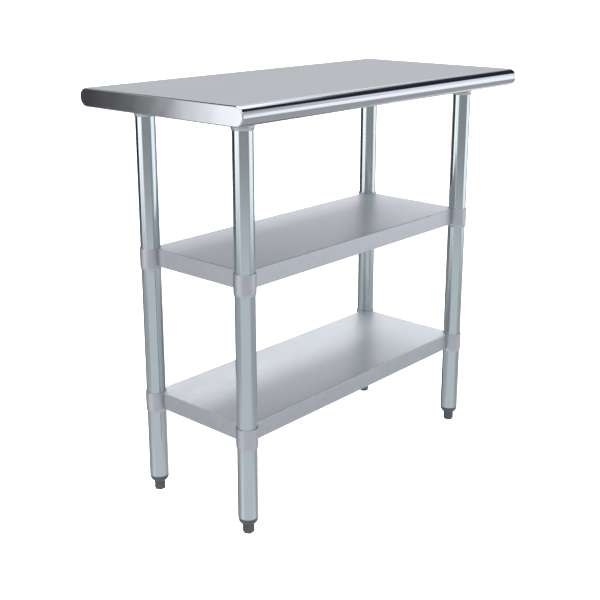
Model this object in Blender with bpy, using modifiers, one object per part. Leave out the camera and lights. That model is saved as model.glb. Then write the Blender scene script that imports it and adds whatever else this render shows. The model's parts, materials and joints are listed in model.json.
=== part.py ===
"""Stainless work table with two undershelves, as the separate pieces it is assembled from.

A knock-down kitchen table: a stainless top with rolled front and back edges, four round legs held in
gussets under the top, two galvanised shelves that slide on the legs and lock with set screws, and
four screw-in levelling feet.

Units are metres. X runs along the length, -Y is the front, +Z is up. The origin is on the floor,
under the middle of the top.
"""

import math

import bmesh
import bpy
from mathutils import Matrix, Vector

# ---------------------------------------------------------------- driving dimensions

TABLE_LENGTH = 0.9144
TABLE_DEPTH = 0.4572
TABLE_HEIGHT = 0.889
EDGE_HEIGHT = 0.038
ROLL_FLAT = 0.0001
END_FOLD = 0.0015
SHEET = 0.0012
GAP = 0.0003

LEG_X = 0.3669
LEG_Y = 0.1381
LEG_RADIUS = 0.041275 / 2
LEG_WALL = 0.0015
LEG_BOTTOM = 0.0356

SHELF_TOPS = {"middle": 0.5562, "lower": 0.2343}
SHELF_HEIGHT = 0.038
SHELF_BEND = 0.0022
RETURN_LIP = 0.012
MOUTH_CUT = 3 * SHEET

COLLAR_RADIUS = 0.0227
COLLAR_STRAIGHT = 0.0395
COLLAR_TAPER = 0.0055
RIM_ROUND = 0.0006

CHANNEL_HEIGHT = 0.019
CHANNEL_CROWN = 0.064
CHANNEL_FLANGE = 0.018
CHANNEL_SHEET = 0.0015
CROSS_CHANNEL_LENGTH = 0.40

GUSSET_PLATE = (0.058, 0.100, 0.003)
GUSSET_FLARE_RADIUS = 0.0275
GUSSET_FLARE_HEIGHT = 0.009
GUSSET_TAPER = 0.0045
GUSSET_RIM = 0.831
GUSSET_SCREW_OFFSET = 0.038

BOSS_RADIUS = 0.0065
BOSS_REACH = 0.0065
BOSS_DRILL_INTO_BORE = 0.003
SET_SCREW_RADIUS = 0.004
SET_SCREW_SOCKET = 0.0023
SET_SCREW_SOCKET_DEPTH = 0.004
SET_SCREW_INSET = 0.0005
COLLAR_BOSS_DROP = 0.022
GUSSET_BOSS_RISE = 0.0150

TAP_SCREW_RADIUS = 0.003
TAP_SCREW_LENGTH = 0.016
TAP_SCREW_HEAD_RADIUS = 0.0055
TAP_SCREW_HEAD_HEIGHT = 0.004

INSERT_PLUG_LENGTH = 0.030
INSERT_PLUG_LEAD = (0.001, 0.002)
INSERT_NOSE_RADIUS = 0.0124
INSERT_SETBACK = 0.0002
FOOT_HEIGHT = 0.0212
FOOT_CORNER_RADIUS = 0.0121
FOOT_CHAMFER = 0.0005
FOOT_TURN = math.radians(35)
STEM_RADIUS = 0.005
STEM_CHAMFER = 0.001
STEM_LENGTH = 0.060
STEM_SEAT = 0.0060

ROUND_SEGMENTS = 24
BOSS_SEGMENTS = 16
SMALL_SEGMENTS = 12
ROLL_SEGMENTS = 12
NOSE_STEPS = 6
SMOOTH_ANGLE = math.radians(35)
OVERCUT = 0.01

# ---------------------------------------------------------------- sizes worked out from those

TOP_UNDERSIDE = TABLE_HEIGHT - SHEET
ROLL_RADIUS = EDGE_HEIGHT / 2 - ROLL_FLAT
CHANNEL_TOP = TOP_UNDERSIDE - GAP
CHANNEL_BOTTOM = CHANNEL_TOP - CHANNEL_HEIGHT
PLATE_TOP = CHANNEL_BOTTOM - GAP
PLATE_BOTTOM = PLATE_TOP - GUSSET_PLATE[2]
LEG_TOP = PLATE_BOTTOM - GAP
BORE_RADIUS = LEG_RADIUS + GAP
FOOT_INSERT_BOTTOM = FOOT_HEIGHT + GAP
SCREW_HOLE_RADIUS = SET_SCREW_RADIUS + GAP
TAP_HOLE_RADIUS = TAP_SCREW_RADIUS + GAP
GUSSET_BOSS_HEIGHT = GUSSET_RIM + GUSSET_BOSS_RISE
SET_SCREW_LENGTH = COLLAR_RADIUS + BOSS_REACH - SET_SCREW_INSET - BORE_RADIUS

# Corner name: the signs of its X and Y.
CORNERS = {
    "front_left": (-1, -1),
    "front_right": (1, -1),
    "back_left": (-1, 1),
    "back_right": (1, 1),
}

FINISHES = {
    "stainless": ((0.60, 0.62, 0.65), 0.22, 1.0),
    "galvanised_sheet": ((0.62, 0.64, 0.68), 0.38, 1.0),
    "galvanised_tube": ((0.56, 0.62, 0.64), 0.24, 1.0),
    "cast_collar": ((0.58, 0.58, 0.62), 0.42, 1.0),
    "steel_screw": ((0.35, 0.36, 0.38), 0.35, 1.0),
    "foot_plastic": ((0.10, 0.11, 0.12), 0.50, 0.0),
}


# ---------------------------------------------------------------- scene and materials


def clear_scene():
    for obj in list(bpy.data.objects):
        bpy.data.objects.remove(obj, do_unlink=True)


def new_collection(name):
    collection = bpy.data.collections.new(name)
    bpy.context.scene.collection.children.link(collection)
    return collection


def make_material(name, colour, roughness, metallic):
    material = bpy.data.materials.new(name)
    material.use_nodes = True
    shader = material.node_tree.nodes["Principled BSDF"]
    shader.inputs["Base Color"].default_value = (*colour, 1.0)
    shader.inputs["Roughness"].default_value = roughness
    shader.inputs["Metallic"].default_value = metallic
    return material


clear_scene()
PARTS = new_collection("stainless_work_table")
CUTTERS = new_collection("cutters")
MATERIALS = {name: make_material(name, *finish) for name, finish in FINISHES.items()}


# ---------------------------------------------------------------- modelling helpers


def mesh_object(name, fill, collection):
    """A new object whose mesh is what fill(bm) makes."""
    mesh = bpy.data.meshes.new(name)
    bm = bmesh.new()
    fill(bm)
    bm.to_mesh(mesh)
    bm.free()
    obj = bpy.data.objects.new(name, mesh)
    collection.objects.link(obj)
    return obj


def draft(name, fill):
    """An object that is cut or copied later, kept out of the parts until it is finished."""
    obj = mesh_object(name, fill, CUTTERS)
    obj.hide_render = True
    obj.display_type = "WIRE"
    return obj


def finished_mesh(obj, material):
    """The mesh of obj with its modifiers applied, shaded smooth except at its sharp edges."""
    bpy.context.view_layer.update()
    graph = bpy.context.evaluated_depsgraph_get()
    mesh = bpy.data.meshes.new_from_object(obj.evaluated_get(graph))
    mesh.shade_smooth()
    mesh.set_sharp_from_angle(angle=SMOOTH_ANGLE)
    mesh.materials.clear()
    mesh.materials.append(MATERIALS[material])
    return mesh


def place(name, mesh, location, turn=0.0, parent=None):
    obj = bpy.data.objects.new(name, mesh)
    obj.location = location
    obj.rotation_euler = (0, 0, turn)
    PARTS.objects.link(obj)
    if parent:
        obj.parent = parent
        obj.matrix_parent_inverse = Matrix.Translation(parent.location).inverted()
    return obj


def empty(name, location):
    obj = bpy.data.objects.new(name, None)
    obj.location = location
    PARTS.objects.link(obj)
    return obj


def boolean(obj, other, operation="DIFFERENCE"):
    modifier = obj.modifiers.new(other.name, "BOOLEAN")
    modifier.operation = operation
    modifier.object = other
    modifier.solver = "EXACT"


def block(low, high):
    """A fill that makes a box between two corners."""
    low, high = Vector(low), Vector(high)

    def fill(bm):
        size = Matrix.Diagonal((*(high - low), 1))
        bmesh.ops.create_cube(bm, size=1, matrix=Matrix.Translation((low + high) / 2) @ size)

    return fill


def rod(radius, bottom, top, segments=ROUND_SEGMENTS, matrix=None, top_radius=None):
    """A fill that makes a cylinder, cone or prism on Z from bottom to top, then moved by matrix."""

    def fill(bm):
        middle = Matrix.Translation((0, 0, (bottom + top) / 2))
        bmesh.ops.create_cone(
            bm,
            cap_ends=True,
            segments=segments,
            radius1=radius,
            radius2=radius if top_radius is None else top_radius,
            depth=top - bottom,
            matrix=(matrix or Matrix()) @ middle,
        )

    return fill


def turned(name, profile):
    """A draft turned about Z from a closed profile of (radius, height) points, outer side first."""

    def fill(bm):
        points = [bm.verts.new((radius, 0, height)) for radius, height in profile]
        for start, end in zip(points, points[1:] + points[:1]):
            bm.edges.new((start, end))

    obj = draft(name, fill)
    screw = obj.modifiers.new("turn", "SCREW")
    screw.steps = ROUND_SEGMENTS
    screw.render_steps = ROUND_SEGMENTS
    screw.use_merge_vertices = True
    screw.merge_threshold = 0.0001
    return obj


def bevel_edges(bm, chosen, width, segments):
    edges = [edge for edge in bm.edges if chosen(edge)]
    bmesh.ops.bevel(
        bm, geom=edges, offset=width, segments=segments, profile=0.5, affect="EDGES", clamp_overlap=True
    )


def along(axis):
    """Whether an edge runs along this axis (0, 1 or 2)."""

    def test(edge):
        run = edge.verts[1].co - edge.verts[0].co
        return abs(run[axis]) > 0.999 * run.length

    return test


def at_height(height):
    """Whether an edge lies flat at this height."""
    return lambda edge: all(abs(vert.co.z - height) < 1e-6 for vert in edge.verts)


def at_ends(reach):
    """Whether an edge lies in one of the two end faces, this far out along X."""
    return lambda edge: all(abs(abs(vert.co.x) - reach) < 1e-6 for vert in edge.verts)


def inward_angle(signs):
    """The direction, about Z, from a corner of the table to its middle, along the diagonal."""
    return math.atan2(-signs[1], -signs[0])


# ---------------------------------------------------------------- the top and its channels


def rolled_block(length, depth, bottom, top, radius, end_round=0.0):
    """A fill for a box along X whose long edges are rounded, and whose end edges may be eased."""

    def fill(bm):
        block((-length / 2, -depth / 2, bottom), (length / 2, depth / 2, top))(bm)
        bevel_edges(bm, along(0), radius, ROLL_SEGMENTS)
        if end_round:
            bevel_edges(bm, at_ends(length / 2), end_round, 2)

    return fill


def make_top_sheet():
    """One folded sheet: flat top, rolled long edges, turned-down ends and a return lip all round."""
    bottom = TABLE_HEIGHT - EDGE_HEIGHT
    outside = rolled_block(TABLE_LENGTH, TABLE_DEPTH, bottom, TABLE_HEIGHT, ROLL_RADIUS, END_FOLD)
    sheet = draft("top_blank", outside)
    inside = rolled_block(
        TABLE_LENGTH - 2 * SHEET,
        TABLE_DEPTH - 2 * SHEET,
        bottom + SHEET,
        TOP_UNDERSIDE,
        ROLL_RADIUS - SHEET,
    )
    boolean(sheet, draft("top_hollow", inside))
    mouth_x = TABLE_LENGTH / 2 - SHEET - RETURN_LIP
    mouth_y = TABLE_DEPTH / 2 - ROLL_RADIUS - RETURN_LIP / 2
    mouth = block((-mouth_x, -mouth_y, bottom - OVERCUT), (mouth_x, mouth_y, bottom + MOUTH_CUT))
    boolean(sheet, draft("top_mouth", mouth))
    place("top_sheet", finished_mesh(sheet, "stainless"), (0, 0, 0))


def channel_draft(name, length, axis):
    """A hat-section channel, open side up, centred on the table and running along X (0) or Y (1)."""
    side = CHANNEL_CROWN / 2 - CHANNEL_SHEET / 2
    lip = CHANNEL_CROWN / 2 + CHANNEL_FLANGE
    top = CHANNEL_TOP - CHANNEL_SHEET / 2
    bottom = CHANNEL_BOTTOM + CHANNEL_SHEET / 2
    section = [(-lip, top), (-side, top), (-side, bottom), (side, bottom), (side, top), (lip, top)]

    def fill(bm):
        def row(reach):
            if axis == 0:
                return [bm.verts.new((reach, across, height)) for across, height in section]
            return [bm.verts.new((across, reach, height)) for across, height in section]

        near, far = row(-length / 2), row(length / 2)
        for step in range(len(section) - 1):
            bm.faces.new((near[step], near[step + 1], far[step + 1], far[step]))

    obj = draft(name, fill)
    solidify = obj.modifiers.new("sheet", "SOLIDIFY")
    solidify.thickness = CHANNEL_SHEET
    solidify.offset = 0
    solidify.use_even_offset = True
    return obj


def make_channels():
    cross = channel_draft("cross_blank", CROSS_CHANNEL_LENGTH, 1)
    for number, y in enumerate(tap_screw_places()):
        hole = rod(
            TAP_HOLE_RADIUS,
            CHANNEL_BOTTOM - OVERCUT,
            CHANNEL_BOTTOM + 3 * CHANNEL_SHEET,
            SMALL_SEGMENTS,
            Matrix.Translation((0, y, 0)),
        )
        boolean(cross, draft(f"cross_hole_{number}", hole))
    mesh = finished_mesh(cross, "galvanised_sheet")
    place("cross_channel_left", mesh, (-LEG_X, 0, 0))
    place("cross_channel_right", mesh, (LEG_X, 0, 0))
    length = 2 * (LEG_X - CHANNEL_CROWN / 2 - CHANNEL_FLANGE - GAP)
    long_mesh = finished_mesh(channel_draft("long_blank", length, 0), "galvanised_sheet")
    place("long_channel", long_mesh, (0, 0, 0))


def tap_screw_places():
    """The Y of each gusset screw along a cross channel."""
    return [side * LEG_Y + step * GUSSET_SCREW_OFFSET for side in (-1, 1) for step in (-1, 1)]


# ---------------------------------------------------------------- pieces with a boss and a set screw


def across(height):
    """The transform from a rod on Z to one on +X at this height."""
    return Matrix.Translation((0, 0, height)) @ Matrix.Rotation(math.pi / 2, 4, "Y")


def add_boss(body, height, turn=0.0):
    """Joins a set-screw boss to a sleeve, turned this far about Z from +X, and drills its wall."""
    place_boss = Matrix.Rotation(turn, 4, "Z") @ across(height)
    middle_of_wall = (BORE_RADIUS + COLLAR_RADIUS) / 2
    boss_end = COLLAR_RADIUS + BOSS_REACH
    boss = rod(BOSS_RADIUS, middle_of_wall, boss_end, BOSS_SEGMENTS, place_boss)
    drill_start = BORE_RADIUS - BOSS_DRILL_INTO_BORE
    hole = rod(SCREW_HOLE_RADIUS, drill_start, boss_end + OVERCUT, SMALL_SEGMENTS, place_boss)
    boolean(body, draft(f"{body.name}_boss", boss), "UNION")
    boolean(body, draft(f"{body.name}_hole", hole))


def make_set_screw_mesh():
    """A grub screw on +X whose tip starts at the leg's surface, with a hexagon socket in its end."""
    end = BORE_RADIUS + SET_SCREW_LENGTH
    blank = rod(SET_SCREW_RADIUS, BORE_RADIUS, end, SMALL_SEGMENTS, across(0))
    body = draft("set_screw_blank", blank)
    socket = rod(SET_SCREW_SOCKET, end - SET_SCREW_SOCKET_DEPTH, end + OVERCUT, 6, across(0))
    boolean(body, draft("set_screw_socket", socket))
    return finished_mesh(body, "steel_screw")


def make_collar_mesh():
    """The corner collar of a shelf: a sleeve round the leg, from its rim at height 0 downwards."""
    low = -COLLAR_STRAIGHT - COLLAR_TAPER
    profile = [
        (COLLAR_RADIUS - RIM_ROUND, 0),
        (COLLAR_RADIUS, -RIM_ROUND),
        (COLLAR_RADIUS, -COLLAR_STRAIGHT),
        (BORE_RADIUS + RIM_ROUND, low),
        (BORE_RADIUS, low),
        (BORE_RADIUS, 0),
    ]
    collar = turned("collar_blank", profile)
    add_boss(collar, -COLLAR_BOSS_DROP)
    return finished_mesh(collar, "cast_collar")


def make_gusset_mesh(corner, turn):
    """The socket of a leg: a plate against the channel, a flared hub and a sleeve with its boss.

    Heights are the table's own. The plate lies square, and the boss points to the table's middle.
    """
    plate_x, plate_y, plate_sheet = GUSSET_PLATE
    half_plate = Vector((plate_x / 2, plate_y / 2, 0))
    low = Vector((0, 0, PLATE_BOTTOM)) - half_plate
    high = Vector((0, 0, PLATE_TOP)) + half_plate
    gusset = draft(f"gusset_blank_{corner}", block(low, high))
    inside_plate = PLATE_BOTTOM + plate_sheet / 2
    profile = [
        (GUSSET_FLARE_RADIUS, inside_plate),
        (GUSSET_FLARE_RADIUS, PLATE_BOTTOM),
        (COLLAR_RADIUS, PLATE_BOTTOM - GUSSET_FLARE_HEIGHT),
        (COLLAR_RADIUS, GUSSET_RIM + GUSSET_TAPER),
        (BORE_RADIUS + RIM_ROUND, GUSSET_RIM),
        (BORE_RADIUS, GUSSET_RIM),
        (BORE_RADIUS, inside_plate),
    ]
    boolean(gusset, turned(f"gusset_hub_{corner}", profile), "UNION")
    for label, y in (("front", -GUSSET_SCREW_OFFSET), ("back", GUSSET_SCREW_OFFSET)):
        spot = Matrix.Translation((0, y, 0))
        through = (PLATE_BOTTOM - OVERCUT, PLATE_TOP + OVERCUT)
        hole = rod(TAP_HOLE_RADIUS, *through, SMALL_SEGMENTS, spot)
        boolean(gusset, draft(f"gusset_hole_{corner}_{label}", hole))
    add_boss(gusset, GUSSET_BOSS_HEIGHT, turn)
    return finished_mesh(gusset, "cast_collar")


def make_tap_screw_mesh():
    """A hexagon-headed thread-forming screw, from under the gusset plate up into the channel."""
    head_top = PLATE_BOTTOM - GAP
    head = draft("tap_head", rod(TAP_SCREW_HEAD_RADIUS, head_top - TAP_SCREW_HEAD_HEIGHT, head_top, 6))
    shank_ends = (head_top - TAP_SCREW_HEAD_HEIGHT / 2, head_top + TAP_SCREW_LENGTH)
    shank = rod(TAP_SCREW_RADIUS, *shank_ends, SMALL_SEGMENTS)
    boolean(head, draft("tap_shank", shank), "UNION")
    return finished_mesh(head, "steel_screw")


# ---------------------------------------------------------------- legs, shelves and feet


def make_leg_mesh():
    inner = LEG_RADIUS - LEG_WALL
    profile = [(LEG_RADIUS, LEG_TOP), (LEG_RADIUS, LEG_BOTTOM), (inner, LEG_BOTTOM), (inner, LEG_TOP)]
    return finished_mesh(turned("leg_blank", profile), "galvanised_tube")


def make_shelf_mesh():
    """A shelf with its top face at height 0: turned-down flanges, return lips and a bite at each leg."""

    def fill(bm):
        block((-LEG_X, -LEG_Y, -SHELF_HEIGHT), (LEG_X, LEG_Y, 0))(bm)
        bevel_edges(bm, at_height(0), SHELF_BEND, 3)
        bevel_edges(bm, at_height(-SHELF_HEIGHT), SHEET, 2)

    shelf = draft("shelf_blank", fill)
    in_x, in_y = LEG_X - SHEET, LEG_Y - SHEET
    hollow = block((-in_x, -in_y, -SHELF_HEIGHT + SHEET), (in_x, in_y, -SHEET))
    boolean(shelf, draft("shelf_hollow", hollow))
    mouth_x, mouth_y = in_x - RETURN_LIP, in_y - RETURN_LIP
    mouth_low, mouth_high = -SHELF_HEIGHT - OVERCUT, -SHELF_HEIGHT + MOUTH_CUT
    mouth = block((-mouth_x, -mouth_y, mouth_low), (mouth_x, mouth_y, mouth_high))
    boolean(shelf, draft("shelf_mouth", mouth))
    for corner, (side_x, side_y) in CORNERS.items():
        spot = Matrix.Translation((side_x * LEG_X, side_y * LEG_Y, 0))
        bite = rod(COLLAR_RADIUS + GAP, -SHELF_HEIGHT - OVERCUT, OVERCUT, ROUND_SEGMENTS, spot)
        boolean(shelf, draft(f"shelf_bite_{corner}", bite))
    return finished_mesh(shelf, "galvanised_sheet")


def make_foot_insert_mesh():
    """The plug pressed into the leg's end, with a rounded nose below it and a hole for the stem."""
    plug = LEG_RADIUS - LEG_WALL - GAP
    hole = STEM_RADIUS + GAP
    shoulder = LEG_BOTTOM - GAP
    reach = LEG_RADIUS - INSERT_SETBACK - INSERT_NOSE_RADIUS
    drop = shoulder - FOOT_INSERT_BOTTOM
    nose = []
    for step in range(NOSE_STEPS + 1):
        angle = math.pi / 2 * step / NOSE_STEPS
        nose.append((INSERT_NOSE_RADIUS + reach * math.cos(angle), shoulder - drop * math.sin(angle)))
    top = LEG_BOTTOM + INSERT_PLUG_LENGTH
    lead_in, lead_height = INSERT_PLUG_LEAD
    profile = [(plug - lead_in, top), (plug, top - lead_height), (plug, shoulder), *nose]
    profile += [(hole, FOOT_INSERT_BOTTOM), (hole, top)]
    return finished_mesh(turned("insert_blank", profile), "foot_plastic")


def make_foot_mesh():
    """The hexagonal foot, with chamfered edges below and a blind hole for its stem above."""

    def fill(bm):
        rod(FOOT_CORNER_RADIUS, 0, FOOT_HEIGHT, 6)(bm)
        bevel_edges(bm, at_height(0), FOOT_CHAMFER, 1)

    foot = draft("foot_blank", fill)
    seat = rod(STEM_RADIUS + GAP, STEM_SEAT - GAP, FOOT_HEIGHT + OVERCUT, ROUND_SEGMENTS)
    boolean(foot, draft("foot_seat", seat))
    return finished_mesh(foot, "foot_plastic")


def make_stem_mesh():
    def fill(bm):
        rod(STEM_RADIUS, STEM_SEAT, STEM_SEAT + STEM_LENGTH, ROUND_SEGMENTS)(bm)
        bevel_edges(bm, at_height(STEM_SEAT + STEM_LENGTH), STEM_CHAMFER, 1)

    return finished_mesh(draft("stem_blank", fill), "steel_screw")


# ---------------------------------------------------------------- assembly


def make_corner_pieces(set_screw):
    """At each corner: the gusset and its screws, the leg, and the foot with its insert and stem."""
    leg = make_leg_mesh()
    insert = make_foot_insert_mesh()
    stem = make_stem_mesh()
    foot = make_foot_mesh()
    tap_screw = make_tap_screw_mesh()
    for corner, signs in CORNERS.items():
        axis = Vector((signs[0] * LEG_X, signs[1] * LEG_Y, 0))
        turn = inward_angle(signs)
        place(f"gusset_{corner}", make_gusset_mesh(corner, turn), axis)
        place(f"set_screw_gusset_{corner}", set_screw, axis + Vector((0, 0, GUSSET_BOSS_HEIGHT)), turn)
        for label, away in (("inner", -signs[1]), ("outer", signs[1])):
            offset = Vector((0, away * GUSSET_SCREW_OFFSET, 0))
            place(f"gusset_screw_{corner}_{label}", tap_screw, axis + offset)
        place(f"leg_{corner}", leg, axis)
        place(f"foot_insert_{corner}", insert, axis)
        place(f"foot_stem_{corner}", stem, axis)
        place(f"foot_{corner}", foot, axis, FOOT_TURN)


def make_shelves(set_screw):
    """Both shelves with their collars and set screws, each on an empty that slides up the legs."""
    shelf = make_shelf_mesh()
    collar = make_collar_mesh()
    for level, top in SHELF_TOPS.items():
        slide = empty(f"{level}_shelf_slide", (0, 0, top))
        place(f"shelf_{level}", shelf, (0, 0, top), parent=slide)
        for corner, signs in CORNERS.items():
            axis = Vector((signs[0] * LEG_X, signs[1] * LEG_Y, top))
            turn = inward_angle(signs)
            place(f"collar_{level}_{corner}", collar, axis, turn, slide)
            screw_at = axis - Vector((0, 0, COLLAR_BOSS_DROP))
            place(f"set_screw_{level}_{corner}", set_screw, screw_at, turn, slide)


SET_SCREW_MESH = make_set_screw_mesh()
make_top_sheet()
make_channels()
make_corner_pieces(SET_SCREW_MESH)
make_shelves(SET_SCREW_MESH)
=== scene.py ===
"""Looks of the stainless work table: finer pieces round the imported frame, materials, light, camera."""

import json
import math

import bmesh
import bpy
from mathutils import Matrix, Vector


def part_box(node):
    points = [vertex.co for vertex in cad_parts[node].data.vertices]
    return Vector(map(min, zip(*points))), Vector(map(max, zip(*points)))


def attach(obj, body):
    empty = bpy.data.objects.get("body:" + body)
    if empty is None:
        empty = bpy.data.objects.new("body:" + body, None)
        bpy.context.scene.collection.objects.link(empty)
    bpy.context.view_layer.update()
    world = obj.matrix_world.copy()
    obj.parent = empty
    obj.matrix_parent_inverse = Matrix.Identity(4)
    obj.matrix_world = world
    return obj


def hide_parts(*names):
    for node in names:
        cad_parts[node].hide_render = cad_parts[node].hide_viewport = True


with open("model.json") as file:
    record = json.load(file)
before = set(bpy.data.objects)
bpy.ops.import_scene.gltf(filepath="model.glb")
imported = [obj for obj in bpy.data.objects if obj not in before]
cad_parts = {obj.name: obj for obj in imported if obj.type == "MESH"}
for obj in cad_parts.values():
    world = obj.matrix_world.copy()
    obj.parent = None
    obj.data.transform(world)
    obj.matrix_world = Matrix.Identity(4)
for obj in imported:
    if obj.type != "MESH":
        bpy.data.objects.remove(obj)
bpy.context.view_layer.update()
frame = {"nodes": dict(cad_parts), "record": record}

# ---------------------------------------------------------------- sizes that the frame doesn't hold

# In metres, unless a name says otherwise.
SHEET = 0.0012
RETURN_LIP = 0.012
GAP = 0.0003
LEG_WALL = 0.0015
BOSS_RADIUS = 0.0065
BOSS_REACH = 0.0065
BOSS_DROP_IN_COLLAR = 0.022
BOSS_RISE_IN_GUSSET = 0.015
COLLAR_RADIUS = 0.0227
COLLAR_TAPER = 0.0055
COLLAR_LEAD_DEPTH = 0.0016
COLLAR_LEAD_WIDTH = 0.0009
RIM_WIDTH = 0.0007
PLATE_SHEET = 0.003
PLATE_CORNER = 0.006
GUSSET_FLARE_RADIUS = 0.0275
GUSSET_FLARE_HEIGHT = 0.009
GUSSET_TAPER = 0.0045
SET_SCREW_RADIUS = 0.004
SET_SCREW_INSET = 0.0005
TAP_HEAD_RADIUS = 0.0055
TAP_HEAD_HEIGHT = 0.004
TAP_HOLE_RADIUS = 0.0033
GRUB_THREAD_DEPTH = 0.0005
GRUB_THREAD_PITCH = 0.00125
GRUB_SOCKET_RADIUS = 0.0023
GRUB_SOCKET_DEPTH = 0.004
TAP_THREAD_DEPTH = 0.0004
TAP_THREAD_PITCH = 0.0011
TOP_END_BEND = 0.0025
TOP_ROLL_EASE = 0.00005
ROLL_SEGMENTS = 28
SHELF_BEND = 0.0022
STEM_RADIUS = 0.005
STEM_HOLE_RADIUS = 0.0053
INSERT_NOSE_RADIUS = 0.0124
INSERT_SETBACK = 0.0002
PLUG_TAPER_WIDTH = 0.001
PLUG_TAPER_HEIGHT = 0.002
FOOT_CORNER_RADIUS = 0.0121
FOOT_CHAMFER = 0.0005
FOOT_EDGE_ROUND = 0.0004
FOOT_TURN = math.radians(35)
STEM_THREAD_DEPTH = 0.0008
STEM_THREAD_PITCH = 0.0015

FLOOR_RADIUS = 40.0
FLOOR_THICKNESS = 0.02
FLOOR_DROP = 0.0252

CAMERA_PLACE = (-1.689, -1.456, 1.116)
CAMERA_TILT_DOWN = math.radians(15.57)
CAMERA_HEADING = math.radians(-48.34)
CAMERA_LENS_MM = 61.0
CAMERA_SHIFT = -0.08

# How meshes are made: sides of a fine circle, the angle below which faces are shaded as one surface, the
# width from which a flat keeps its own normal, and how far a cutting shape reaches past what it cuts.
FINE = 96
SMOOTH_ANGLE = math.radians(32)
FLAT_WIDTH = 0.005
OVERCUT = 0.01

CORNERS = {
    "front_left": (-1, -1),
    "front_right": (1, -1),
    "back_left": (-1, 1),
    "back_right": (1, 1),
}
LEVELS = ("middle", "lower")
BODY_OF = {n: body for body, nodes in frame["record"]["behaviour"]["bodies"].items() for n in nodes}
SLOT_OF = {part["node"]: part["material_slot"] for part in frame["record"]["subparts"]}


# ---------------------------------------------------------------- shader nodes


def add_node(tree, kind, inputs=None, **settings):
    """A new node with its settings, and with its inputs linked to a socket or set to a value."""
    made = tree.nodes.new(kind)
    for name, value in settings.items():
        setattr(made, name, value)
    for name, value in (inputs or {}).items():
        if isinstance(value, bpy.types.NodeSocket):
            tree.links.new(value, made.inputs[name])
        else:
            made.inputs[name].default_value = value
    return made


def new_material(name):
    """A material, its node tree and its shader."""
    material = bpy.data.materials.new(name)
    material.use_nodes = True
    return material, material.node_tree, material.node_tree.nodes["Principled BSDF"]


def stretched_noise(tree, stretch, scale, detail=2.0):
    """Noise in metres of the piece's own space, scaled along each axis."""
    space = add_node(tree, "ShaderNodeTexCoord")
    place = add_node(tree, "ShaderNodeMapping", {"Vector": space.outputs["Object"], "Scale": stretch})
    return add_node(
        tree, "ShaderNodeTexNoise", {"Vector": place.outputs["Vector"], "Scale": scale, "Detail": detail}
    ).outputs["Fac"]


def spread(tree, value, low, high):
    """Maps a 0 to 1 value to low to high."""
    return add_node(
        tree, "ShaderNodeMapRange", {"Value": value, "To Min": low, "To Max": high}
    ).outputs["Result"]


def calc(tree, operation, *values):
    """One step of arithmetic on sockets or numbers."""
    made = tree.nodes.new("ShaderNodeMath")
    made.operation = operation
    for number, value in enumerate(values):
        if isinstance(value, bpy.types.NodeSocket):
            tree.links.new(value, made.inputs[number])
        else:
            made.inputs[number].default_value = value
    return made.outputs[0]


def fade(tree, value, start, end):
    """1 below start, 0 above end, smooth between."""
    return add_node(
        tree,
        "ShaderNodeMapRange",
        {"Value": value, "From Min": start, "From Max": end, "To Min": 1.0, "To Max": 0.0},
        interpolation_type="SMOOTHSTEP",
    ).outputs["Result"]


def mix_colour(tree, factor, first, second):
    """A colour from first to second, each a socket or an RGBA value, by factor."""
    made = add_node(tree, "ShaderNodeMix", data_type="RGBA")
    ends = {"Factor_Float": factor, "A_Color": first, "B_Color": second}
    for socket in made.inputs:
        value = ends.get(socket.identifier)
        if isinstance(value, bpy.types.NodeSocket):
            tree.links.new(value, socket)
        elif value is not None:
            socket.default_value = value
    return next(socket for socket in made.outputs if socket.identifier == "Result_Color")


def tint(tree, value, dark, light):
    """A colour from dark to light, each RGB, by a 0 to 1 value."""
    return mix_colour(tree, value, (*dark, 1), (*light, 1))


def bumped(tree, shader, heights, strength, distance):
    """Bumps the shader by a list of height sockets, one after the other."""
    normal = None
    for height in heights:
        inputs = {"Height": height, "Strength": strength, "Distance": distance}
        if normal is not None:
            inputs["Normal"] = normal
        normal = add_node(tree, "ShaderNodeBump", inputs).outputs["Normal"]
    tree.links.new(normal, shader.inputs["Normal"])


def brushed_stainless():
    """Satin stainless sheet: fine lengthwise grain, with a very slight waviness of the sheet."""
    material, tree, shader = new_material("stainless")
    grain = stretched_noise(tree, (6, 500, 500), 1.0, 4.0)
    cloud = stretched_noise(tree, (1, 1, 1), 7.0)
    colour = tint(tree, cloud, (0.60, 0.61, 0.635), (0.64, 0.65, 0.672))
    tree.links.new(colour, shader.inputs["Base Color"])
    tree.links.new(spread(tree, grain, 0.09, 0.14), shader.inputs["Roughness"])
    shader.inputs["Metallic"].default_value = 1.0
    bumped(tree, shader, [cloud], 0.05, 0.01)
    return material


def galvanised_sheet():
    """Galvanised sheet: soft satin, with faint spangle cells about a centimetre across."""
    material, tree, shader = new_material("galvanised_sheet")
    space = add_node(tree, "ShaderNodeTexCoord")
    cells = add_node(tree, "ShaderNodeTexVoronoi", {"Vector": space.outputs["Object"], "Scale": 110.0})
    cell = add_node(tree, "ShaderNodeSeparateColor", {"Color": cells.outputs["Color"]}).outputs["Red"]
    cloud = stretched_noise(tree, (1, 1, 1), 9.0)
    tree.links.new(tint(tree, cell, (0.57, 0.583, 0.606), (0.60, 0.613, 0.636)), shader.inputs["Base Color"])
    tree.links.new(spread(tree, cell, 0.36, 0.42), shader.inputs["Roughness"])
    shader.inputs["Metallic"].default_value = 1.0
    bumped(tree, shader, [cloud], 0.06, 0.01)
    return material


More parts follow.
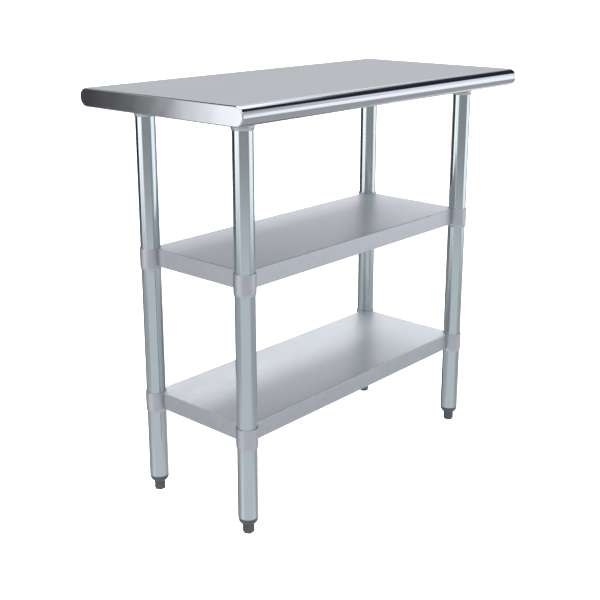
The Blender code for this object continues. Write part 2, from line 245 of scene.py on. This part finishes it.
def galvanised_tube():
    """Tube with a faint blue-green coat and fine marks drawn along its length."""
    material, tree, shader = new_material("galvanised_tube")
    drawn = stretched_noise(tree, (400, 400, 5), 1.0, 3.0)
    cloud = stretched_noise(tree, (1, 1, 0.4), 30.0)
    tree.links.new(tint(tree, cloud, (0.585, 0.64, 0.655), (0.615, 0.665, 0.68)), shader.inputs["Base Color"])
    tree.links.new(spread(tree, drawn, 0.10, 0.16), shader.inputs["Roughness"])
    shader.inputs["Metallic"].default_value = 1.0
    bumped(tree, shader, [drawn], 0.03, 0.0005)
    return material


def die_casting():
    """Satin die casting with a fine grain."""
    material, tree, shader = new_material("cast_collar")
    grain = stretched_noise(tree, (1, 1, 1), 900.0, 3.0)
    cloud = stretched_noise(tree, (1, 1, 1), 60.0)
    tree.links.new(tint(tree, cloud, (0.60, 0.60, 0.63), (0.64, 0.64, 0.67)), shader.inputs["Base Color"])
    tree.links.new(spread(tree, cloud, 0.38, 0.46), shader.inputs["Roughness"])
    shader.inputs["Metallic"].default_value = 1.0
    bumped(tree, shader, [grain], 0.1, 0.0002)
    return material


def zinc_steel():
    """Zinc-plated fasteners, slightly cloudy."""
    material, tree, shader = new_material("steel_screw")
    cloud = stretched_noise(tree, (1, 1, 1), 300.0)
    tree.links.new(tint(tree, cloud, (0.36, 0.37, 0.39), (0.46, 0.47, 0.48)), shader.inputs["Base Color"])
    tree.links.new(spread(tree, cloud, 0.28, 0.42), shader.inputs["Roughness"])
    shader.inputs["Metallic"].default_value = 1.0
    return material


def moulded_plastic():
    """Dark grey moulded plastic with a fine spark-eroded texture and paler scuffs."""
    material, tree, shader = new_material("foot_plastic")
    grain = stretched_noise(tree, (1, 1, 1), 1500.0, 2.0)
    scuff = stretched_noise(tree, (1, 1, 2), 180.0, 4.0)
    colour = tint(tree, scuff, (0.042, 0.046, 0.051), (0.074, 0.079, 0.085))
    tree.links.new(colour, shader.inputs["Base Color"])
    tree.links.new(spread(tree, scuff, 0.30, 0.44), shader.inputs["Roughness"])
    bumped(tree, shader, [grain], 0.15, 0.0002)
    return material


MATERIALS = {
    "stainless": brushed_stainless(),
    "galvanised_sheet": galvanised_sheet(),
    "galvanised_tube": galvanised_tube(),
    "cast_collar": die_casting(),
    "steel_screw": zinc_steel(),
    "foot_plastic": moulded_plastic(),
}


# ---------------------------------------------------------------- mesh helpers


def mesh_of(name, *fills):
    """A new mesh from one or more functions that each add to a bmesh."""
    bm = bmesh.new()
    for fill in fills:
        fill(bm)
    mesh = bpy.data.meshes.new(name)
    bm.to_mesh(mesh)
    bm.free()
    return mesh


def evaluated(mesh, set_up):
    """The mesh of a passing object after its modifiers, which set_up adds and may need other objects for."""
    base = bpy.data.objects.new("draft", mesh)
    bpy.context.scene.collection.objects.link(base)
    helpers = [base, *set_up(base)]
    bpy.context.view_layer.update()
    graph = bpy.context.evaluated_depsgraph_get()
    made = bpy.data.meshes.new_from_object(base.evaluated_get(graph))
    for helper in helpers:
        bpy.data.objects.remove(helper)
    return made


def finished(mesh, cuts=(), joins=()):
    """The mesh after joining and then cutting with others, shaded smooth with its flats kept flat."""

    def booleans(base):
        tools = []
        for operation, others in (("UNION", joins), ("DIFFERENCE", cuts)):
            for other in others:
                tools.append(bpy.data.objects.new("tool", other))
                bpy.context.scene.collection.objects.link(tools[-1])
                modifier = base.modifiers.new("boolean", "BOOLEAN")
                modifier.operation = operation
                modifier.object = tools[-1]
        return tools

    made = evaluated(mesh, booleans)
    made.shade_smooth()
    made.set_sharp_from_angle(angle=SMOOTH_ANGLE)
    weigh_normals(made)
    return made


def weigh_normals(mesh):
    """Weighs corner normals by the areas of the smoothly joined faces; a wide flat keeps its own."""
    bm = bmesh.new()
    bm.from_mesh(mesh)
    area = {face: face.calc_area() for face in bm.faces}
    wide = {face for face in bm.faces if area[face] > FLAT_WIDTH / 2 * face.calc_perimeter()}
    normals = [None] * len(mesh.loops)
    for face in bm.faces:
        for corner in face.loops:
            joined = [
                other
                for other in corner.vert.link_faces
                if other is face or other.normal.angle(face.normal, 0) < SMOOTH_ANGLE
            ]
            flats = [other for other in joined if other in wide]
            total = Vector()
            for other in flats or joined:
                total += other.normal * area[other]
            normals[corner.index] = total.normalized()
    bm.free()
    mesh.normals_split_custom_set(normals)


def block(low, high):
    """A fill for a box between two corners."""
    low, high = Vector(low), Vector(high)

    def fill(bm):
        size = Matrix.Diagonal((*(high - low), 1))
        bmesh.ops.create_cube(bm, size=1, matrix=Matrix.Translation((low + high) / 2) @ size)

    return fill


def rod(radius, bottom, top, segments=FINE, matrix=None):
    """A fill for a round or many-sided bar along Z, before the matrix."""

    def fill(bm):
        middle = Matrix.Translation((0, 0, (bottom + top) / 2))
        bmesh.ops.create_cone(
            bm,
            cap_ends=True,
            segments=segments,
            radius1=radius,
            radius2=radius,
            depth=top - bottom,
            matrix=(matrix or Matrix()) @ middle,
        )

    return fill


def bevel(chosen, width, segments):
    """A fill that rounds the chosen edges of what is there."""

    def fill(bm):
        edges = [edge for edge in bm.edges if chosen(edge)]
        bmesh.ops.bevel(bm, geom=edges, offset=width, segments=segments, profile=0.5, affect="EDGES")

    return fill


def along(axis):
    """A test for edges that run along an axis."""

    def test(edge):
        run = edge.verts[1].co - edge.verts[0].co
        return abs(run[axis]) > 0.999 * run.length

    return test


def all_at(axis, *places):
    """Whether both ends of an edge lie at one of these places on an axis."""
    return lambda edge: any(all(abs(v.co[axis] - place) < 1e-6 for v in edge.verts) for place in places)


def rounded(points, steps=5):
    """A closed profile from (radius, height, fillet) corners, with each fillet as an arc."""
    made = []
    for number, (x, y, fillet) in enumerate(points):
        corner = Vector((x, y))
        before = Vector(points[number - 1][:2]) - corner
        after = Vector(points[(number + 1) % len(points)][:2]) - corner
        if not fillet:
            made.append(corner)
            continue
        half = before.angle(after) / 2
        reach = min(fillet / math.tan(half), 0.49 * before.length, 0.49 * after.length)
        start, end = corner + before.normalized() * reach, corner + after.normalized() * reach
        for step in range(steps + 1):
            t = step / steps
            made.append(start * (1 - t) ** 2 + corner * 2 * t * (1 - t) + end * t**2)
    return made


def turned(profile, segments=FINE):
    """A fill that turns a closed profile about Z."""

    def fill(bm):
        ring = [bm.verts.new((p[0], 0, p[1])) for p in profile]
        edges = [bm.edges.new(pair) for pair in zip(ring, ring[1:] + ring[:1])]
        bmesh.ops.spin(
            bm,
            geom=ring + edges,
            cent=(0, 0, 0),
            axis=(0, 0, 1),
            angle=2 * math.pi,
            steps=segments,
            use_merge=True,
        )
        bmesh.ops.remove_doubles(bm, verts=bm.verts, dist=1e-6)
        bmesh.ops.recalc_face_normals(bm, faces=bm.faces)

    return fill


def threaded(radius, depth, pitch, bottom, top, around=36, per_turn=8):
    """A fill for a rod whose surface is a real helical thread, with plain ends."""

    def fill(bm):
        rows = round((top - bottom) / pitch * per_turn)
        rings = []
        for row in range(rows + 1):
            z = bottom + (top - bottom) * row / rows
            fullness = min(1, min(z - bottom, top - z) / pitch)
            ring = []
            for step in range(around):
                phase = (z / pitch - step / around) % 1
                groove = depth * (1 - abs(2 * phase - 1)) * fullness + depth * (1 - fullness)
                angle = 2 * math.pi * step / around
                reach = radius - groove
                ring.append(bm.verts.new((reach * math.cos(angle), reach * math.sin(angle), z)))
            rings.append(ring)
        for lower, upper in zip(rings, rings[1:]):
            for step in range(around):
                after = (step + 1) % around
                bm.faces.new((lower[step], lower[after], upper[after], upper[step]))
        bm.faces.new(list(reversed(rings[0])))
        bm.faces.new(rings[-1])

    return fill


def stand_in(node, mesh, matrix=None):
    """A piece that stands for a CAD node: same body, same finish."""
    mesh.materials.clear()
    mesh.materials.append(MATERIALS[SLOT_OF[node]])
    piece = bpy.data.objects.new(f"{node}_detail", mesh)
    piece.matrix_world = matrix or Matrix()
    bpy.context.scene.collection.objects.link(piece)
    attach(piece, BODY_OF[node])
    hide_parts(node)
    return piece


def axis_of(corner):
    """The leg's axis at a corner, on the floor."""
    low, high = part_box(f"leg_{corner}")
    return Vector(((low.x + high.x) / 2, (low.y + high.y) / 2, 0))


def inward(corner):
    """The angle about Z from a leg towards the table's middle, where the set screws are."""
    sign_x, sign_y = CORNERS[corner]
    return math.atan2(-sign_y, -sign_x)


LEG_LOW, LEG_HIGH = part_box("leg_front_left")
LEG_RADIUS = (LEG_HIGH.x - LEG_LOW.x) / 2
BORE_RADIUS = LEG_RADIUS + GAP


# ---------------------------------------------------------------- the top


def rolled(low, high, radius, segments):
    """Fills for a box whose long edges are rolled."""
    return [block(low, high), bevel(along(0), radius, segments)]


def make_top():
    low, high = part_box("top_sheet")
    wall = Vector((SHEET, SHEET, SHEET))
    radius = (high.z - low.z) / 2 - TOP_ROLL_EASE
    outside = rolled(low, high, radius, ROLL_SEGMENTS) + [bevel(all_at(0, low.x, high.x), TOP_END_BEND, 6)]
    inside = rolled(low + wall, high - wall, radius - SHEET, ROLL_SEGMENTS)
    mouth_x = high.x - SHEET - RETURN_LIP
    mouth_y = high.y - radius - RETURN_LIP / 2
    mouth = block((-mouth_x, -mouth_y, low.z - OVERCUT), (mouth_x, mouth_y, low.z + 3 * SHEET))
    mesh = finished(mesh_of("top", *outside), cuts=[mesh_of("in", *inside), mesh_of("mouth", mouth)])
    stand_in("top_sheet", mesh)


# ---------------------------------------------------------------- collars, gussets and their screws


def across(height):
    """Turns a piece made along Z to point along +X at a height."""
    return Matrix.Translation((0, 0, height)) @ Matrix.Rotation(math.pi / 2, 4, "Y")


def boss_parts(height):
    """The boss to join and the hole to cut, on +X of a sleeve, at this height."""
    middle_of_wall = (BORE_RADIUS + COLLAR_RADIUS) / 2
    end = COLLAR_RADIUS + BOSS_REACH
    boss = mesh_of("boss", rod(BOSS_RADIUS, middle_of_wall, end, 32, across(height)))
    hole = rod(SET_SCREW_RADIUS + GAP, BORE_RADIUS - 0.003, end + OVERCUT, 24, across(height))
    return boss, mesh_of("hole", hole)


def make_collars():
    low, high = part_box("collar_middle_front_left")
    height = high.z - low.z
    profile = rounded(
        [
            (BORE_RADIUS, -COLLAR_LEAD_DEPTH, 0.0002),
            (BORE_RADIUS + COLLAR_LEAD_WIDTH, 0, 0.0002),
            (COLLAR_RADIUS, 0, 0.0006),
            (COLLAR_RADIUS, -height + COLLAR_TAPER, 0.003),
            (BORE_RADIUS + RIM_WIDTH, -height, 0.0003),
            (BORE_RADIUS, -height, 0),
        ]
    )
    boss, hole = boss_parts(-BOSS_DROP_IN_COLLAR)
    mesh = finished(mesh_of("collar", turned(profile)), cuts=[hole], joins=[boss])
    for level in LEVELS:
        for corner in CORNERS:
            node = f"collar_{level}_{corner}"
            rim = Vector((0, 0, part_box(node)[1].z))
            turn = Matrix.Rotation(inward(corner), 4, "Z")
            stand_in(node, mesh.copy(), Matrix.Translation(axis_of(corner) + rim) @ turn)


def make_gussets():
    low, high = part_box("gusset_front_left")
    plate_bottom = high.z - PLATE_SHEET
    axis = axis_of("front_left")
    half_x, half_y = (high.x - low.x) / 2, (high.y - low.y) / 2
    inside_plate = high.z - PLATE_SHEET / 2
    profile = rounded(
        [
            (BORE_RADIUS, inside_plate, 0),
            (GUSSET_FLARE_RADIUS, inside_plate, 0),
            (GUSSET_FLARE_RADIUS, plate_bottom, 0.0006),
            (COLLAR_RADIUS, plate_bottom - GUSSET_FLARE_HEIGHT, 0.006),
            (COLLAR_RADIUS, low.z + GUSSET_TAPER, 0.002),
            (BORE_RADIUS + RIM_WIDTH, low.z, 0.0003),
            (BORE_RADIUS, low.z, 0),
        ]
    )
    boss, hole = boss_parts(low.z + BOSS_RISE_IN_GUSSET)
    for corner in CORNERS:
        plate = mesh_of(
            "plate",
            block((-half_x, -half_y, plate_bottom), (half_x, half_y, high.z)),
            bevel(along(2), PLATE_CORNER, 5),
        )
        hub = mesh_of("hub", turned(profile))
        turn = Matrix.Rotation(inward(corner), 4, "Z")
        turned_boss, turned_hole = boss.copy(), hole.copy()
        turned_boss.transform(turn)
        turned_hole.transform(turn)
        holes = []
        for label in ("inner", "outer"):
            screw_low, screw_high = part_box(f"gusset_screw_{corner}_{label}")
            y = (screw_low.y + screw_high.y) / 2 - axis_of(corner).y
            spot = Matrix.Translation((0, y, 0))
            drill = rod(TAP_HOLE_RADIUS, plate_bottom - OVERCUT, high.z + OVERCUT, 24, spot)
            holes.append(mesh_of("hole", drill))
        mesh = finished(plate, cuts=[turned_hole, *holes], joins=[hub, turned_boss])
        stand_in(f"gusset_{corner}", mesh, Matrix.Translation(axis_of(corner)))


def make_set_screws():
    low = BORE_RADIUS
    end = COLLAR_RADIUS + BOSS_REACH - SET_SCREW_INSET
    turn = across(0)
    thread = threaded(SET_SCREW_RADIUS, GRUB_THREAD_DEPTH, GRUB_THREAD_PITCH, low, end, 24, 6)
    screw = mesh_of("grub", thread)
    screw.transform(turn)
    socket = mesh_of("socket", rod(GRUB_SOCKET_RADIUS, end - GRUB_SOCKET_DEPTH, end + OVERCUT, 6, turn))
    mesh = finished(screw, cuts=[socket])
    for corner in CORNERS:
        for kind in (*LEVELS, "gusset"):
            node = f"set_screw_{kind}_{corner}"
            node_low, node_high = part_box(node)
            height = Vector((0, 0, (node_low.z + node_high.z) / 2))
            place = Matrix.Translation(axis_of(corner) + height) @ Matrix.Rotation(inward(corner), 4, "Z")
            stand_in(node, mesh.copy(), place)


def make_gusset_screws():
    low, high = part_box("gusset_screw_front_left_inner")
    hexagon = mesh_of(
        "head",
        rod(TAP_HEAD_RADIUS, low.z, low.z + TAP_HEAD_HEIGHT, 6),
        bevel(all_at(2, low.z), 0.0005, 3),
    )
    start = low.z + TAP_HEAD_HEIGHT / 2
    shank = threaded(TAP_HOLE_RADIUS - GAP, TAP_THREAD_DEPTH, TAP_THREAD_PITCH, start, high.z, 20, 6)
    mesh = finished(hexagon, joins=[mesh_of("shank", shank)])
    for corner in CORNERS:
        for label in ("inner", "outer"):
            node = f"gusset_screw_{corner}_{label}"
            node_low, node_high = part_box(node)
            middle = (node_low + node_high) / 2
            stand_in(node, mesh.copy(), Matrix.Translation((middle.x, middle.y, 0)))


# ---------------------------------------------------------------- legs, shelves and feet


def make_legs():
    inner = LEG_RADIUS - LEG_WALL
    profile = rounded(
        [
            (inner, LEG_HIGH.z, 0.0003),
            (LEG_RADIUS, LEG_HIGH.z, 0.0003),
            (LEG_RADIUS, LEG_LOW.z, 0.0004),
            (inner, LEG_LOW.z, 0.0003),
        ],
        3,
    )
    mesh = finished(mesh_of("leg", turned(profile)))
    for corner in CORNERS:
        stand_in(f"leg_{corner}", mesh.copy(), Matrix.Translation(axis_of(corner)))


def make_shelves():
    for level in LEVELS:
        node = f"shelf_{level}"
        low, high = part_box(node)
        outside = [
            block(low, high),
            bevel(all_at(2, high.z), SHELF_BEND, 5),
            bevel(all_at(2, low.z), SHELF_BEND / 2, 3),
        ]
        wall = Vector((SHEET, SHEET, SHEET))
        inside = block(low + wall, high - wall)
        lip = Vector((SHEET + RETURN_LIP, SHEET + RETURN_LIP, 0))
        mouth_low, mouth_high = low + lip, high - lip
        mouth = block(
            (mouth_low.x, mouth_low.y, low.z - OVERCUT), (mouth_high.x, mouth_high.y, low.z + 3 * SHEET)
        )
        cuts = [mesh_of("in", inside), mesh_of("mouth", mouth)]
        for corner in CORNERS:
            spot = Matrix.Translation(axis_of(corner))
            cuts.append(
                mesh_of("bite", rod(COLLAR_RADIUS + GAP, low.z - OVERCUT, high.z + OVERCUT, FINE, spot))
            )
        stand_in(node, finished(mesh_of("shelf", *outside), cuts=cuts))


def make_foot_inserts():
    low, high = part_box("foot_insert_front_left")
    plug = LEG_RADIUS - LEG_WALL - GAP
    shoulder = LEG_LOW.z - GAP
    reach = LEG_RADIUS - INSERT_SETBACK - INSERT_NOSE_RADIUS
    drop = shoulder - low.z
    nose = []
    steps = 20
    for step in range(steps + 1):
        angle = math.pi / 2 * step / steps
        nose.append((INSERT_NOSE_RADIUS + reach * math.cos(angle), shoulder - drop * math.sin(angle)))
    plugged = [
        (STEM_HOLE_RADIUS, high.z),
        (plug - PLUG_TAPER_WIDTH, high.z),
        (plug, high.z - PLUG_TAPER_HEIGHT),
        (plug, shoulder),
    ]
    profile = [*plugged, *nose, (STEM_HOLE_RADIUS, low.z)]
    mesh = finished(mesh_of("insert", turned(profile)))
    for corner in CORNERS:
        stand_in(f"foot_insert_{corner}", mesh.copy(), Matrix.Translation(axis_of(corner)))


def make_feet():
    low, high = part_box("foot_front_left")
    stem_low, stem_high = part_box("foot_stem_front_left")
    height = high.z - low.z
    hexagon = mesh_of(
        "foot",
        rod(FOOT_CORNER_RADIUS, 0, height, 6),
        bevel(all_at(2, 0), FOOT_CHAMFER, 1),
        bevel(lambda edge: edge.calc_face_angle(0) > SMOOTH_ANGLE / 2, FOOT_EDGE_ROUND, 3),
    )
    seat = mesh_of("seat", rod(STEM_HOLE_RADIUS, stem_low.z - GAP, height + OVERCUT, 32))
    foot = finished(hexagon, cuts=[seat])
    thread = threaded(STEM_RADIUS, STEM_THREAD_DEPTH, STEM_THREAD_PITCH, stem_low.z, stem_high.z)
    stem = finished(mesh_of("stem", thread))
    for corner in CORNERS:
        place = Matrix.Translation(axis_of(corner))
        stand_in(f"foot_{corner}", foot.copy(), place @ Matrix.Rotation(FOOT_TURN, 4, "Z"))
        stand_in(f"foot_stem_{corner}", stem.copy(), place)


def dress_channels():
    """The hat channels stay as the frame has them, with the sheet's finish."""
    for node in ("cross_channel_left", "cross_channel_right", "long_channel"):
        for slot in frame["nodes"][node].material_slots:
            slot.material = MATERIALS[SLOT_OF[node]]


make_top()
make_collars()
make_gussets()
make_set_screws()
make_gusset_screws()
make_legs()
make_shelves()
make_foot_inserts()
make_feet()
dress_channels()


# ---------------------------------------------------------------- floor, studio and camera

# What the studio shows by direction, seen only in reflections. Each card has a name, the azimuth of its
# middle and half its width, its lowest and highest elevation, the softness of its sides, all in degrees,
# and its colour. A standing card's azimuth goes from +X towards +Y round the Z axis. An overhead card
# lies along the table: its azimuth goes from -Y towards +Z round the X axis, its elevation towards +X.
STANDING_CARDS = [
    ("floor_near", 228, 55, -90, -10, 7, (0.68, 0.72, 0.765)),
    ("floor_left", 158, 20, -70, -25, 5, (0.84, 0.88, 0.94)),
    ("floor_right", 300, 18, -70, -27, 5, (0.82, 0.85, 0.90)),
    ("floor_behind", 63, 29, -75, -14, 5, (0.04, 0.042, 0.045)),
    ("floor_glow", 16, 10, -46, -25, 4, (1.08, 1.10, 1.13)),
    ("left_flag", 105, 26, -15, 3, 5, (0.04, 0.041, 0.043)),
    ("left_softbox", 160, 26, -13, 3, 5, (1.54, 1.57, 1.60)),
    ("left_strip", 138, 5, -13, 2, 3, (1.68, 1.71, 1.74)),
    ("camera_side", 238, 54, -12, 8, 4, (0.335, 0.35, 0.36)),
    ("right_softbox_top", 336, 12, 0, 26, 3, (1.04, 1.08, 1.14)),
    ("right_softbox", 328, 14, -5, 9, 3, (1.36, 1.41, 1.49)),
    ("right_softbox_low", 317.5, 25, -14.5, -1, 3, (1.34, 1.39, 1.47)),
    ("back_softbox", 72, 32, 46, 72, 5, (14.5, 14.6, 14.7)),
    ("back_strip", 36, 6, 15, 22, 4, (1.60, 1.62, 1.65)),
]
OVERHEAD_CARDS = [
    ("flag_behind_roll", 98, 20, 51, 80, 5, (0.05, 0.055, 0.065)),
    ("flag_over_roll", 65, 18, 25, 72, 4, (0.02, 0.025, 0.04)),
    ("flag_over_end", 77, 30, 47, 72, 4, (0.02, 0.025, 0.04)),
    ("flag_over_fold", 133, 12, -45, 32, 4, (0.02, 0.025, 0.03)),
]
STUDIO_BY_HEIGHT = [
    (-90, 0.48),
    (-16, 0.47),
    (-12, 0.36),
    (0, 0.50),
    (10, 0.645),
    (16, 0.72),
    (22, 0.54),
    (29, 0.54),
    (35, 1.40),
    (50, 2.10),
    (60, 2.40),
    (74, 0.90),
    (90, 0.75),
]


def add_cards(tree, direction, cards, colour):
    """Lays cards over the colour so far, by their azimuth about Z and elevation along Z."""
    height = add_node(tree, "ShaderNodeSeparateXYZ", {"Vector": direction}).outputs["Z"]
    elevation = calc(tree, "MULTIPLY", calc(tree, "ARCSINE", height), math.degrees(1))
    for _, centre, half, bottom, top, soft, card in cards:
        turned_to = add_node(
            tree,
            "ShaderNodeVectorRotate",
            {"Vector": direction, "Angle": -math.radians(centre)},
            rotation_type="Z_AXIS",
        )
        flat = add_node(tree, "ShaderNodeSeparateXYZ", {"Vector": turned_to.outputs["Vector"]})
        azimuth = calc(tree, "ARCTAN2", flat.outputs["Y"], flat.outputs["X"])
        sideways = calc(tree, "MULTIPLY", calc(tree, "ABSOLUTE", azimuth), math.degrees(1))
        upward = calc(tree, "ABSOLUTE", calc(tree, "SUBTRACT", elevation, (bottom + top) / 2))
        half_height = (top - bottom) / 2
        mask = calc(
            tree,
            "MULTIPLY",
            fade(tree, sideways, half - soft, half + soft),
            fade(tree, upward, half_height - soft, half_height + soft),
        )
        colour = mix_colour(tree, mask, colour, (*card, 1))
    return colour


def make_studio():
    """A world of soft cards and flags all round, seen in reflections, on a plain white backdrop."""
    world = bpy.data.worlds.new("studio")
    bpy.context.scene.world = world
    world.use_nodes = True
    tree = world.node_tree
    tree.nodes.clear()
    direction = add_node(tree, "ShaderNodeTexCoord").outputs["Generated"]
    apart = add_node(tree, "ShaderNodeSeparateXYZ", {"Vector": direction})
    elevation = calc(tree, "MULTIPLY", calc(tree, "ARCSINE", apart.outputs["Z"]), math.degrees(1))
    low, high = STUDIO_BY_HEIGHT[0][0], STUDIO_BY_HEIGHT[-1][0]
    ramp = add_node(tree, "ShaderNodeValToRGB")
    share = calc(tree, "DIVIDE", calc(tree, "SUBTRACT", elevation, low), high - low)
    tree.links.new(share, ramp.inputs["Fac"])
    elements = ramp.color_ramp.elements
    while len(elements) < len(STUDIO_BY_HEIGHT):
        elements.new(0.5)
    for element, (degrees, level) in zip(elements, STUDIO_BY_HEIGHT):
        element.position = (degrees - low) / (high - low)
        element.color = (level * 0.97, level, level * 1.05, 1)
    backward = calc(tree, "MULTIPLY", apart.outputs["Y"], -1.0)
    along_table = add_node(
        tree, "ShaderNodeCombineXYZ", {"X": backward, "Y": apart.outputs["Z"], "Z": apart.outputs["X"]}
    ).outputs["Vector"]
    colour = add_cards(tree, direction, STANDING_CARDS, ramp.outputs["Color"])
    colour = add_cards(tree, along_table, OVERHEAD_CARDS, colour)
    seen = add_node(tree, "ShaderNodeLightPath").outputs["Is Camera Ray"]
    colour = mix_colour(tree, seen, colour, (1.0, 1.0, 1.0, 1))
    background = add_node(tree, "ShaderNodeBackground", {"Color": colour, "Strength": 1.0})
    add_node(tree, "ShaderNodeOutputWorld", {"Surface": background.outputs["Background"]})


def make_floor():
    """A pale floor, a foot's travel below the table, so that the feet still show when they are let down."""
    mesh = mesh_of("floor", rod(FLOOR_RADIUS, -FLOOR_DROP - FLOOR_THICKNESS, -FLOOR_DROP, 64))
    floor = bpy.data.objects.new("floor", mesh)
    bpy.context.scene.collection.objects.link(floor)
    material, tree, shader = new_material("pale_floor")
    speckle = stretched_noise(tree, (1, 1, 1), 4.0)
    tree.links.new(tint(tree, speckle, (0.93, 0.93, 0.93), (0.95, 0.95, 0.95)), shader.inputs["Base Color"])
    shader.inputs["Roughness"].default_value = 0.9
    shader.inputs["Emission Color"].default_value = (1, 1, 1, 1)
    shader.inputs["Emission Strength"].default_value = 0.65
    mesh.materials.append(material)
    floor.visible_glossy = False


def make_camera():
    data = bpy.data.cameras.new("camera")
    data.sensor_width = 36.0
    data.lens = CAMERA_LENS_MM
    data.shift_y = CAMERA_SHIFT
    data.clip_end = 200.0
    camera = bpy.data.objects.new("camera", data)
    camera.location = CAMERA_PLACE
    camera.rotation_euler = (math.pi / 2 - CAMERA_TILT_DOWN, 0, CAMERA_HEADING)
    bpy.context.scene.collection.objects.link(camera)
    bpy.context.scene.camera = camera


make_studio()
make_floor()
make_camera()
bpy.context.scene.view_settings.view_transform = "Standard"
